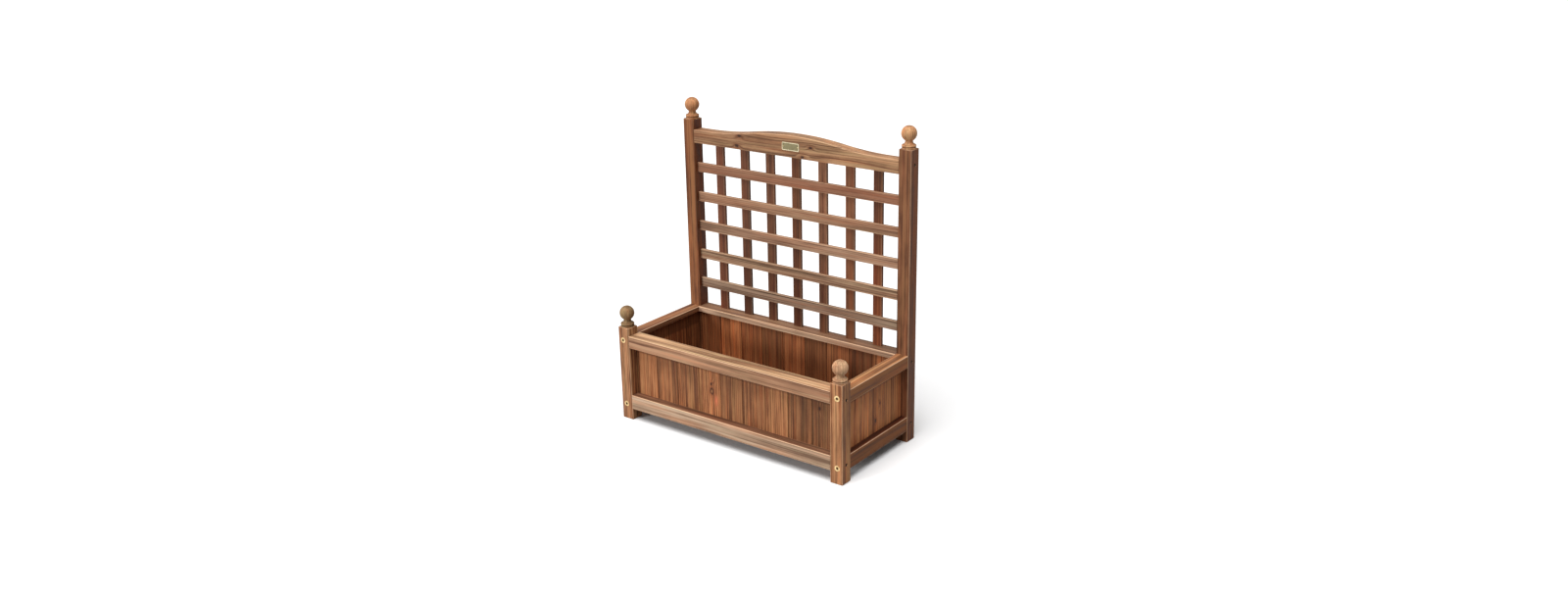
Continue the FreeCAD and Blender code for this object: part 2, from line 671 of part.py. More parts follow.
def column_mortises(column):
    """The room for one upright slat, which reaches into the rail below and the rail above."""
    reach = SLAT_TENON + MORTISE_END_CLEARANCE
    half = SLAT_WIDTH / 2 + MORTISE_CLEARANCE
    low = Vector(column_x(column) - half, COLUMN_FRONT - MORTISE_CLEARANCE, TOP_RAIL_TOP - reach)
    high = Vector(column_x(column) + half, COLUMN_BACK + MORTISE_CLEARANCE, ARCH_UNDERSIDE + reach)
    return box_between(low, high)


def arched_rail():
    """A rail with flat shoulders and an ogee rise, made of a crown arc and two reversed arcs."""
    half_span = INNER_HALF_WIDTH - ARCH_SHOULDER
    low_top = ARCH_UNDERSIDE + ARCH_END_HEIGHT
    radius = (half_span ** 2 + ARCH_RISE ** 2) / (4 * ARCH_RISE)
    quarter = math.asin(half_span / 2 / radius) / 2
    foot_x = half_span - radius * math.sin(quarter)
    foot_z = low_top + radius * (1 - math.cos(quarter))
    face = lambda x, z: Vector(x, INNER_HALF_DEPTH, z)
    turn_z = low_top + ARCH_RISE / 2
    edges = [
        Part.makeLine(face(-INNER_HALF_WIDTH, ARCH_UNDERSIDE), face(INNER_HALF_WIDTH, ARCH_UNDERSIDE)),
        Part.makeLine(face(INNER_HALF_WIDTH, ARCH_UNDERSIDE), face(INNER_HALF_WIDTH, low_top)),
        Part.makeLine(face(INNER_HALF_WIDTH, low_top), face(half_span, low_top)),
        Part.Arc(face(half_span, low_top), face(foot_x, foot_z), face(half_span / 2, turn_z)).toShape(),
        Part.Arc(face(half_span / 2, turn_z), face(0, low_top + ARCH_RISE),
                 face(-half_span / 2, turn_z)).toShape(),
        Part.Arc(face(-half_span / 2, turn_z), face(-foot_x, foot_z), face(-half_span, low_top)).toShape(),
        Part.makeLine(face(-half_span, low_top), face(-INNER_HALF_WIDTH, low_top)),
        Part.makeLine(face(-INNER_HALF_WIDTH, low_top), face(-INNER_HALF_WIDTH, ARCH_UNDERSIDE)),
    ]
    blank = Part.Face(Part.Wire(edges)).extrude(Vector(0, POST_SIDE, 0))
    long_edges = [edge for edge in blank.Edges
                  if edge.BoundBox.YLength < OVERCUT and edge.BoundBox.XLength > OVERCUT]
    blank = blank.makeFillet(ARCH_EDGE_RADIUS, long_edges)
    tools = frame_screw_holes(-1, 1) + frame_screw_holes(1, 1) + nameplate_pin_holes()
    tools += [column_mortises(column) for column in range(TRELLIS_COLUMNS)]
    return with_holes(blank, tools)


def nameplate():
    """A bare plate with a raised rim, pinned to the arched rail's front face."""
    corners = [(-1, -1), (1, -1), (1, 1), (-1, 1)]

    def plate_prism(margin, front, depth):
        half_width = PLATE_WIDTH / 2 - margin
        half_height = PLATE_HEIGHT / 2 - margin
        points = [Vector(u * half_width, front, PLATE_Z + v * half_height) for u, v in corners]
        return rounded_prism(points, [PLATE_CORNER_RADIUS - margin] * 4, Vector(0, depth, 0))

    front = INNER_HALF_DEPTH - PLATE_THICKNESS
    field = plate_prism(PLATE_RIM_WIDTH, front, PLATE_FIELD_DEPTH)
    return with_holes(plate_prism(0, front, PLATE_THICKNESS), [field] + nameplate_pin_holes())


# Groups of like fasteners

def corner_bolts():
    bolts = []
    for side in SIDES.values():
        for end in ENDS.values():
            bolts += [placed(corner_bolt(), place, Vector(0, end, 0)) for place in bolt_places(side, end)]
    return Part.makeCompound(bolts)


def barrel_nuts():
    nuts = []
    for side in SIDES.values():
        for end in ENDS.values():
            for height in (BOTTOM_BOLT_Z, TOP_BOLT_Z):
                nuts.append(placed(barrel_nut(), barrel_place(side, end, height), UP))
    return Part.makeCompound(nuts)


def frame_screws():
    screw = countersunk_screw(FRAME_SCREW_DIAMETER, FRAME_SCREW_LENGTH, FRAME_SCREW_HEAD_DIAMETER)
    screws = []
    for side in SIDES.values():
        for end in ENDS.values():
            places = frame_screw_places(side, end)
            screws += [placed(screw, place, Vector(side, 0, 0)) for place in places]
    return Part.makeCompound(screws)


def cleat_screws():
    screw = countersunk_screw(CLEAT_SCREW_DIAMETER, CLEAT_SCREW_LENGTH, CLEAT_SCREW_HEAD_DIAMETER)
    screws = []
    for end in ENDS.values():
        screws += [placed(screw, place, Vector(0, -end, 0)) for place in cleat_screw_places(end)]
    return Part.makeCompound(screws)


def trellis_brads():
    brads = []
    for column in range(TRELLIS_COLUMNS):
        for row in range(TRELLIS_ROWS):
            brads.append(placed(brad(), brad_place(column, row), Vector(0, 1, 0)))
    return Part.makeCompound(brads)


def nameplate_pins():
    return Part.makeCompound([placed(nameplate_pin(), place, Vector(0, -1, 0))
                              for place in nameplate_pin_places()])


def finial_dowels():
    return Part.makeCompound([finial_dowel(side, end)
                              for side in SIDES.values() for end in ENDS.values()])


def all_pieces():
    """Every node of the planter, by name."""
    pieces = {}
    for end_name, end in ENDS.items():
        for side_name, side in SIDES.items():
            pieces[f"{end_name}_{side_name}_post"] = post(side, end)
            pieces[f"{end_name}_{side_name}_finial"] = finial(side, end)
        pieces[f"{end_name}_top_rail"] = long_top_rail(end)
        pieces[f"{end_name}_bottom_rail"] = long_bottom_rail(end)
        for i in range(LONG_WALL_BOARDS):
            pieces[f"{end_name}_board_{i + 1}"] = long_wall_board(end, i)
    for side_name, side in SIDES.items():
        pieces[f"{side_name}_top_rail"] = side_top_rail(side)
        pieces[f"{side_name}_bottom_rail"] = side_bottom_rail(side)
        pieces[f"{side_name}_side_boards"] = side_wall_boards(side)
    pieces["floor_boards"] = floor_boards()
    pieces["floor_cleats"] = Part.makeCompound([floor_cleat(end) for end in ENDS.values()])
    pieces["arched_rail"] = arched_rail()
    for row in range(TRELLIS_ROWS):
        pieces[f"flat_slat_{row + 1}"] = row_slat(row)
    for column in range(TRELLIS_COLUMNS):
        pieces[f"upright_slat_{column + 1}"] = column_slat(column)
    pieces["nameplate"] = nameplate()
    pieces["nameplate_pins"] = nameplate_pins()
    pieces["corner_bolts"] = corner_bolts()
    pieces["barrel_nuts"] = barrel_nuts()
    pieces["frame_screws"] = frame_screws()
    pieces["cleat_screws"] = cleat_screws()
    pieces["trellis_brads"] = trellis_brads()
    pieces["finial_dowels"] = finial_dowels()
    return pieces


os.makedirs("parts", exist_ok=True)
for name, shape in all_pieces().items():
    shape.exportStep(f"parts/{name}.step")
    print(name, len(shape.Solids), round(shape.Volume), shape.isValid())
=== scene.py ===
"""Studio picture of a stained wooden planter with a trellis.

Metres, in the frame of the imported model: +X along the width, +Y to the back, +Z up.
"""
import math
import random

import bpy
from mathutils import Matrix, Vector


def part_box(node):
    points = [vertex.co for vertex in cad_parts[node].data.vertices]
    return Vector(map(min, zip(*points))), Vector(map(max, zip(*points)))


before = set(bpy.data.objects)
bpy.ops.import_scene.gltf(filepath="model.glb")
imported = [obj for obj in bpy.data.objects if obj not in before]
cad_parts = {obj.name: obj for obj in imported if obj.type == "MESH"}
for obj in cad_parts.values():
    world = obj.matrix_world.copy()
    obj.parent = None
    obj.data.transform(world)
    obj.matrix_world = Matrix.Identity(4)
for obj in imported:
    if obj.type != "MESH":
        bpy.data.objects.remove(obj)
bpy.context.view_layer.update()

MM = 0.001

# Camera: its place, the way it looks in degrees, and its lens and its frame's width in mm
CAMERA_PLACE = (1.8371, -2.3661, 1.3768)
CAMERA_YAW = 36.871
CAMERA_PITCH = 19.264
CAMERA_ROLL = -0.965
CAMERA_LENS = 30.83
CAMERA_FRAME = 36.0

# Light: an even glow from all round, a low key from the front left and a wide lamp overhead. A
# lamp's angle, in degrees, sets how soft its shadows are
GLOW = 0.20
KEY_STRENGTH = 1.40
KEY_FROM = (-0.36, -0.90, 0.24)
KEY_ANGLE = 12
TOP_STRENGTH = 3.3
TOP_FROM = (0.10, -0.28, 0.95)
TOP_ANGLE = 48

# Floor: just under the feet, seen almost white, but throwing back less light than that
FLOOR_SPAN = 40.0
FLOOR_DROP = 0.2 * MM
FLOOR_BOUNCE = 0.30
FLOOR_SEEN = 0.96

# Which coordinates run along a piece's grain, across its face and through its thickness
FLAT_X = (0, 2, 1)
UPRIGHT_X = (2, 0, 1)
UPRIGHT_Y = (2, 1, 0)
FLAT_Y = (1, 2, 0)
FLOOR_Y = (1, 0, 2)

# The middle tone of each piece's stain, as an 8-bit screen colour, and gains on it board by board
FRONT_BOARD = (154, 101, 65)
REAR_BOARD = (140, 84, 49)
SIDE_BOARDS = {"left": (134, 82, 48), "right": (180, 115, 72)}
FLOOR_BOARD = (140, 90, 58)
FRONT_BOARD_TONES = (1.08, 0.97, 1.00, 1.42, 0.82, 0.88, 1.08, 0.68, 0.62)
REAR_BOARD_TONES = (0.86, 1.50, 0.88, 0.58, 1.02, 0.58, 0.86, 0.48, 0.99)
SIDE_BOARD_TONES = (0.84, 1.16, 0.86, 0.78)
FLOOR_TONES = (0.92, 1.06, 0.98, 1.12, 0.88, 1.02)
RAILS = {
    "front_top_rail": (162, 119, 90), "front_bottom_rail": (174, 142, 116),
    "right_top_rail": (126, 79, 47), "right_bottom_rail": (110, 65, 35),
    "left_top_rail": (116, 76, 50), "left_bottom_rail": (140, 92, 60),
    "rear_top_rail": (175, 141, 115), "rear_bottom_rail": (150, 108, 77),
}
POSTS = {
    "front_left_post": (158, 110, 76), "front_right_post": (163, 112, 75),
    "rear_left_post": (128, 79, 48), "rear_right_post": (122, 77, 50),
}
FINIALS = {
    "front_left_finial": (136, 105, 72), "front_right_finial": (196, 152, 116),
    "rear_left_finial": (180, 124, 84), "rear_right_finial": (190, 138, 97),
}
ARCH = (158, 117, 84)
FLAT_SLATS = ((132, 90, 67), (141, 103, 78), (150, 114, 90), (153, 119, 93), (133, 105, 85))
UPRIGHT_SLATS = ((114, 70, 50), (108, 67, 46), (112, 70, 48), (102, 60, 36),
                 (136, 92, 66), (129, 82, 55), (100, 57, 34))
# The pale of rubbed edges, which also stands for a painted highlight on them
WEAR_AND_HIGHLIGHT = (226, 184, 148)

# Gains on a piece's middle tone, channel by channel: in its pale and dark grain, and where its
# hue drifts
PALE = (1.50, 1.62, 1.70)
DARK = (0.42, 0.36, 0.33)
REDDER = (1.10, 0.86, 0.74)
GREENER = (0.90, 1.02, 0.98)

# The same on the faces of rails that look up or down: painted light and shade on the top rails,
# lit at the front and sides and shaded at the rear, and darker such faces on the bottom rails. And
# painted light and shade on the faces of posts that look along X
BOTTOM_LEDGE = (0.46, 0.32, 0.26)
TOP_LIGHT_AND_SHADE = {
    "front_top_rail": (1.22, 1.36, 1.30), "rear_top_rail": (0.50, 0.40, 0.33),
    "left_top_rail": (1.22, 1.25, 1.23), "right_top_rail": (1.80, 2.15, 2.45),
}
FLANK_LIGHT_AND_SHADE = {
    "front_left_post": (1.06, 1.12, 1.10), "front_right_post": (0.90, 0.90, 0.88),
    "rear_left_post": (0.52, 0.38, 0.28), "rear_right_post": (0.80, 0.68, 0.58),
}

# The same at the low end of a piece: the arch's left end, and the foot of each upright slat
ARCH_FADE = (0.82, 0.78, 0.78)
FOOT_FADE = (0.70, 0.58, 0.47)
FOOT_TONES = (1.18, 0.65, 0.80, 0.90, 0.68, 0.95, 1.85)

# The pitch of the boards in the nodes that hold several, counted from the middle of the node,
# and how far at most their cuts lie apart in the log, along, across and in depth
SIDE_BOARD_PITCH = 76 * MM
FLOOR_BOARD_PITCH = 101.3 * MM
BOARD_JUMP = (3.0, 0.04, 0.04)

# How far pieces lie apart in the noise, and the length and width of its spots along the grain
NOISE_REACH = 90
HUE_OFFSET = 31
GROWTH_SPOTS = (0.6, 16 * MM)
BAND_SPOTS = (0.45, 13 * MM)
STREAK_SPOTS = (0.24, 3.6 * MM)
FIBRE_SPOTS = (0.03, 0.7 * MM)
CLOUD_SPOTS = (0.07, 22 * MM)
HUE_SPOTS = (0.22, 11 * MM)
WEAR_AND_HIGHLIGHT_SPOTS = (0.05, 5 * MM)

# How fast the grain sways, in spots of noise per metre along, across and in depth
SWAY_PACE = (3.2, 12.0, 12.0)

# Year rings: the turn and the distance of their pith, in degrees and mm, how many rings uneven
# growth adds, how dark a year's wood is from its start to its end, and how the years differ
PITH_TURN = (35, 62)
PITH_FAR = (70, 130)
UNEVEN_GROWTH = 2.2
YEAR = ((0.0, 0.9), (0.14, 0.05), (0.55, 0.2), (0.88, 1.0), (1.0, 0.9))
WEAKEST_YEAR = 0.25
YEAR_RANGE = 0.9
MEAN_RING = 0.32

# Stain: where it turns pale, middle and dark, how much of the streaks is broad, fine and cloudy,
# how far the hue drifts and where, and how stain gathers at the long edges of boards
STAIN_STOPS = (0.10, 0.50, 0.95)
STREAK_SHARE = 1.3
FIBRE_SHARE = 0.4
CLOUD_SHARE = 0.6
HUE_SHARE = 0.75
REDDER_EDGE = (0.50, 0.72)
GREENER_EDGE = (0.50, 0.30)
SEAM_EDGE = (1.2 * MM, 4.2 * MM)
SEAM_RAGGED = 1.6 * MM
SEAM_DARK = 0.62

# Painted shadow under a top rail: how far below it the dark line starts and is full, and its strength
UNDER_SHADE_START = 20 * MM
UNDER_SHADE_FULL = 12 * MM
UNDER_SHADE_SHARE = 0.70
UNDER_SHADE_GAIN = 0.7

# A face looks along an axis where its normal's share of it is past these
FACING = (0.75, 0.95)
END_GRAIN_SHARE = 0.5

# The surface: how rough pale wood is and how much smoother stain makes it, how strongly it
# mirrors, and how strong and high its grain stands out, ring by ring, fibre by fibre
ROUGHNESS = 0.74
STAIN_SMOOTHS = -0.16
SPECULAR = 0.22
RELIEF = 0.6
RELIEF_HEIGHT = 0.4 * MM
RING_RELIEF = 0.5
FIBRE_RELIEF = 0.6

# Rubbed edges, pale from wear and from a painted highlight: where a normal turns from flat to
# rounded, how ragged and how wide the pale edge is, and how far from the middle the inner corner
# of a post begins
ROUNDED = (0.93, 0.99)
WEAR_AND_HIGHLIGHT_PATCHES = (0.30, 0.62)
EDGE_RAGGED = -2.2 * MM
EDGE_WIDTH = (-0.3 * MM, 0.6 * MM)
INNER_CORNER = (6 * MM, 9 * MM)

# Knots, as (along, across, radius) from the middle of their piece, and reddish flames, as
# (along, across, half length, half width)
SIDE_KNOTS = ((-0.031, 0.010, 4 * MM), (0.007, 0.028, 3 * MM))
KNOTS = {
    "front_board_4": ((0.0018, 0.0046, 7.0 * MM), (0.019, 0.0035, 3.2 * MM)),
    "front_board_9": ((0.035, -0.011, 3.5 * MM),),
    "left_side_boards": SIDE_KNOTS,
    "right_side_boards": SIDE_KNOTS,
    "arched_rail": ((-0.154, 0.008, 4.0 * MM), (-0.162, -0.017, 4.5 * MM),
                    (0.057, 0.004, 3.5 * MM), (0.033, -0.021, 3.5 * MM)),
}
FLAMES = {"front_board_4": ((-0.020, 0.017, 0.022, 7 * MM),)}
FLAME = (196, 104, 74)
FLAME_EDGE = (0.6, 1.7)
FLAME_RAGGED = 1.2
FLAME_SHARE = 0.7

# A knot's colours and how far they cover the grain, its gains along, across and in depth (the
# smaller, the longer it is), how ragged it is, how far it pushes the rings, and where its parts
# end, in radii. A knot over HOLLOW_KNOT is a dark ring round a pale heart
KNOT_DARK = (50, 26, 16)
KNOT_HALO = (116, 62, 36)
KNOT_HEART = (190, 128, 82)
DARK_SHARE = 0.92
HALO_SHARE = 0.45
HEART_SHARE = 0.8
KNOT_SHAPE = (0.62, 1.0, 0.22)
KNOT_SPOTS = (260, 420, 420)
KNOT_RAGGED = 0.9
KNOT_PUSH = 7 * MM
KNOT_FALLOFF = -0.16
CORE_EDGE = (0.95, 1.6)
HALO_EDGE = (1.2, 3.4)
HEART_EDGE = (0.60, 0.95)
HOLLOW_KNOT = 6 * MM

# Painted shade in the dished head of a corner bolt, in its socket and round it: sizes from its face
# # inwards and from its middle outwards
BOLT_HEAD_RADIUS = 7 * MM
SOCKET_DEPTH = 0.8 * MM
SOCKET_BLUR = 1.0 * MM
SOCKET_SHADE = (46, 30, 18)
DISH_EDGE = (2.6 * MM, 4.2 * MM)
DISH_SHARE = 0.85
DISH_SHADE = (84, 60, 34)

# The plate's rim and its sunk field, each fresh and tarnished, and where the rim ends
PLATE_RIM = ((212, 202, 172), (156, 144, 110))
PLATE_FIELD = ((124, 115, 86), (90, 82, 58))
RIM_EDGE = (0.10 * MM, 0.35 * MM)


def linear(colour, gains=(1.0, 1.0, 1.0)):
    """An 8-bit screen colour as linear RGBA, each channel times its gain."""
    channels = []
    for value, gain in zip(colour, gains):
        share = value / 255
        light = share / 12.92 if share <= 0.04045 else ((share + 0.055) / 1.055) ** 2.4
        channels.append(light * gain)
    return (*channels, 1.0)


def grey(level):
    return (level, level, level, 1.0)


class Tree:
    """The nodes of one material, made one call at a time. Each call returns an output socket."""

    def __init__(self, name):
        self.material = bpy.data.materials.new(name)
        self.material.use_nodes = True
        self.nodes = self.material.node_tree.nodes
        self.links = self.material.node_tree.links
        self.shader = self.nodes["Principled BSDF"]

    def add(self, kind, inputs, output=0, **settings):
        node = self.nodes.new(kind)
        for key, value in settings.items():
            setattr(node, key, value)
        for key, value in inputs.items():
            if isinstance(value, bpy.types.NodeSocket):
                self.links.new(value, node.inputs[key])
            else:
                node.inputs[key].default_value = value
        return node.outputs[output]

    def place(self):
        """The coordinates in the object, in metres."""
        return self.add("ShaderNodeTexCoord", {}, "Object")

    def math(self, operation, a, b=0.0, c=0.0):
        return self.add("ShaderNodeMath", {0: a, 1: b, 2: c}, operation=operation)

    def vector(self, operation, a, b=(0, 0, 0)):
        return self.add("ShaderNodeVectorMath", {0: a, 1: b}, operation=operation)

    def length(self, vector):
        return self.add("ShaderNodeVectorMath", {0: vector}, "Value", operation="LENGTH")

    def hypotenuse(self, a, b):
        squares = (self.math("POWER", a, 2.0), self.math("POWER", b, 2.0))
        return self.math("SQRT", self.math("ADD", *squares))

    def split(self, vector):
        node = self.nodes.new("ShaderNodeSeparateXYZ")
        self.links.new(vector, node.inputs[0])
        return list(node.outputs)

    def join(self, x, y, z):
        return self.add("ShaderNodeCombineXYZ", {0: x, 1: y, 2: z})

    def noise(self, vector, detail=2.0, roughness=0.5, output="Fac"):
        inputs = {"Vector": vector, "Scale": 1.0, "Detail": detail, "Roughness": roughness}
        return self.add("ShaderNodeTexNoise", inputs, output)

    def pick(self, number, output):
        """A random value or colour for each whole number."""
        return self.add("ShaderNodeTexWhiteNoise", {"W": number}, output, noise_dimensions="1D")

    def step(self, value, low, high, start=0.0, end=1.0):
        """Goes smoothly from start to end as value goes from low to high."""
        inputs = {"Value": value, "From Min": low, "From Max": high, "To Min": start, "To Max": end}
        return self.add("ShaderNodeMapRange", inputs, interpolation_type="SMOOTHSTEP")

    def mix(self, share, a, b, blend="MIX"):
        node = self.nodes.new("ShaderNodeMix")
        node.data_type = "RGBA"
        node.blend_type = blend
        for socket, value in ((node.inputs[0], share), (node.inputs[6], a), (node.inputs[7], b)):
            if isinstance(value, bpy.types.NodeSocket):
                self.links.new(value, socket)
            else:
                socket.default_value = value
        return node.outputs[2]

    def tint(self, share, colour, gains):
        """The colour times the gains of its channels, as far as share says."""
        return self.mix(share, colour, (*gains, 1.0), "MULTIPLY")

    def ramp(self, value, stops, between="LINEAR"):
        node = self.nodes.new("ShaderNodeValToRGB")
        node.color_ramp.interpolation = between
        elements = node.color_ramp.elements
        while len(elements) < len(stops):
            elements.new(0.5)
        for element, (place, colour) in zip(elements, stops):
            element.position = place
            element.color = colour
        self.links.new(value, node.inputs[0])
        return node.outputs[0]

    def bump(self, strength, distance, height):
        inputs = {"Strength": strength, "Distance": distance, "Height": height}
        self.connect("Normal", self.add("ShaderNodeBump", inputs, "Normal"))

    def connect(self, name, socket):
        self.links.new(socket, self.shader.inputs[name])


class Timber(Tree):
    """The material of one wooden piece, which knows its way along, across and through the grain."""

    def __init__(self, node, axes):
        super().__init__("wood_" + node)
        self.chance = random.Random(sum(ord(letter) * (i + 1) for i, letter in enumerate(node)))
        self.shift = [self.chance.uniform(-NOISE_REACH, NOISE_REACH) for _ in range(3)]
        low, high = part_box(node)
        middle = [(a + b) / 2 for a, b in zip(low, high)]
        self.here = self.place()
        parts = self.split(self.vector("SUBTRACT", self.here, middle))
        self.along, self.across, self.depth = (parts[i] for i in axes)
        self.half_long, self.half_wide, self.half_deep = ((high[i] - low[i]) / 2 for i in axes)
        true_normal = self.add("ShaderNodeNewGeometry", {}, "True Normal")
        self.normals = [self.math("ABSOLUTE", part) for part in self.split(true_normal)]

    def spots(self, grain, size, detail=3.0, roughness=0.55, offset=0):
        """Noise drawn out along the grain. size is the length and width of its spots."""
        long, wide = size
        scaled = self.vector("MULTIPLY", grain, (1 / long, 1 / wide, 1 / wide))
        shift = [value + offset for value in self.shift]
        return self.noise(self.vector("ADD", scaled, shift), detail, roughness)

    def boards(self, grain, pitch, tones):
        """Gives each board of a group its own place in the log.

        The joints lie whole pitches from the middle, so the boards are even in number. Returns
        the moved grain, the boards' tones and how far it is to the nearest joint.
        """
        count = self.math("DIVIDE", self.across, pitch)
        jump = self.vector("MULTIPLY", self.pick(self.math("FLOOR", count), "Color"), BOARD_JUMP)
        share = 0.5 / self.half_wide
        joints = [max(0.0, 0.5 + (i - len(tones) / 2) * pitch * share) for i in range(len(tones))]
        stops = [(joint, grey(level)) for joint, level in zip(joints, tones)]
        tone = self.ramp(self.math("MULTIPLY_ADD", self.across, share, 0.5), stops, "CONSTANT")
        inside = self.math("ABSOLUTE", self.math("SUBTRACT", self.math("FRACT", count), 0.5))
        from_joint = self.math("MULTIPLY", self.math("SUBTRACT", 0.5, inside), pitch)
        return self.vector("ADD", grain, jump), tone, from_joint

    def wandering(self, grain, wander):
        """The grain, swaying slowly along the piece by up to half of wander."""
        slow = self.vector("ADD", self.vector("MULTIPLY", grain, SWAY_PACE), self.shift)
        drift = self.vector("SUBTRACT", self.noise(slow, 2.0, 0.5, "Color"), (0.5, 0.5, 0.5))
        return self.vector("ADD", grain, self.vector("MULTIPLY", drift, (0.0, wander, wander)))

    def knot_fields(self, grain, knots, face):
        """The knots' dark cores, reddish halos, push on the rings and pale hearts.

        A knot is a branch that is thickest at the face, the low or the high end of the depth,
        -1 or 1, and tapers inwards.
        """
        core, halo, swell, heart = 0.0, 0.0, 0.0, 0.0
        for along, across, radius in knots:
            gap = self.vector("SUBTRACT", grain, (along, across, face * self.half_deep))
            oval = self.vector("MULTIPLY", gap, [gain / radius for gain in KNOT_SHAPE])
            rough = self.noise(self.vector("MULTIPLY", grain, KNOT_SPOTS), 3.0, 0.6)
            reach = self.math("MULTIPLY_ADD", rough, KNOT_RAGGED, self.length(oval))
            squared = self.math("POWER", reach, 2.0)
            near = self.math("EXPONENT", self.math("MULTIPLY", squared, KNOT_FALLOFF))
            core = self.math("MAXIMUM", core, self.step(reach, *CORE_EDGE, 1.0, 0.0))
            halo = self.math("MAXIMUM", halo, self.step(reach, *HALO_EDGE, 1.0, 0.0))
            swell = self.math("ADD", swell, near)
            if radius > HOLLOW_KNOT:
                heart = self.math("MAXIMUM", heart, self.step(reach, *HEART_EDGE, 1.0, 0.0))
        return core, halo, swell, heart

    def rings(self, grain, swell, ring, tilt):
        """How dark the year rings are. They run almost along the piece, round a pith beside it."""
        turn = math.radians(self.chance.uniform(*PITH_TURN)) * self.chance.choice((-1, 1))
        far = self.chance.uniform(*PITH_FAR) * MM
        pith = (0.0, far * math.sin(turn), far * math.cos(turn))
        lean = self.chance.uniform(-tilt, tilt)
        x, y, z = self.split(self.vector("ADD", grain, pith))
        distance = self.hypotenuse(self.math("MULTIPLY_ADD", x, lean, y), z)
        distance = self.math("MULTIPLY_ADD", swell, KNOT_PUSH, distance)
        growth = self.spots(grain, GROWTH_SPOTS, 1.0)
        count = self.math("MULTIPLY_ADD", growth, UNEVEN_GROWTH, self.math("DIVIDE", distance, ring))
        late = self.ramp(self.math("FRACT", count), [(place, grey(level)) for place, level in YEAR])
        year = self.pick(self.math("FLOOR", count), "Value")
        return self.math("MULTIPLY", late, self.math("MULTIPLY_ADD", year, YEAR_RANGE, WEAKEST_YEAR))

    def rubbed(self, grain, square, inner):
        """How far the edges pale from wear and a painted highlight: at the rounded edges, and at the
        box's edges if square.

        inner is the side of the middle, across and in depth, of a corner that stays unrubbed.
        """
        patch = self.spots(grain, WEAR_AND_HIGHLIGHT_SPOTS, 3.0, 0.65)
        flattest = self.math("MAXIMUM", self.math("MAXIMUM", self.normals[0], self.normals[1]),
                             self.normals[2])
        rub_and_highlight = self.math("MULTIPLY", self.step(flattest, *ROUNDED, 1.0, 0.0),
                        self.step(patch, *WEAR_AND_HIGHLIGHT_PATCHES, 0.25, 1.0))
        if square:
            room_wide = self.math("SUBTRACT", self.half_wide, self.math("ABSOLUTE", self.across))
            room_deep = self.math("SUBTRACT", self.half_deep, self.math("ABSOLUTE", self.depth))
            edge = self.math("MULTIPLY_ADD", patch, EDGE_RAGGED,
                             self.math("MAXIMUM", room_wide, room_deep))
            rub_and_highlight = self.math("MAXIMUM", rub_and_highlight, self.step(edge, *EDGE_WIDTH, 1.0, 0.0))
        if inner:
            corner = self.math("MINIMUM", self.math("MULTIPLY", self.across, inner[0]),
                               self.math("MULTIPLY", self.depth, inner[1]))
            rub_and_highlight = self.math("MULTIPLY", rub_and_highlight, self.step(corner, *INNER_CORNER, 1.0, 0.0))
        return rub_and_highlight


def dress(node, material):
    """Gives a CAD node its material."""
    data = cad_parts[node].data
    data.materials.clear()
    data.materials.append(material)


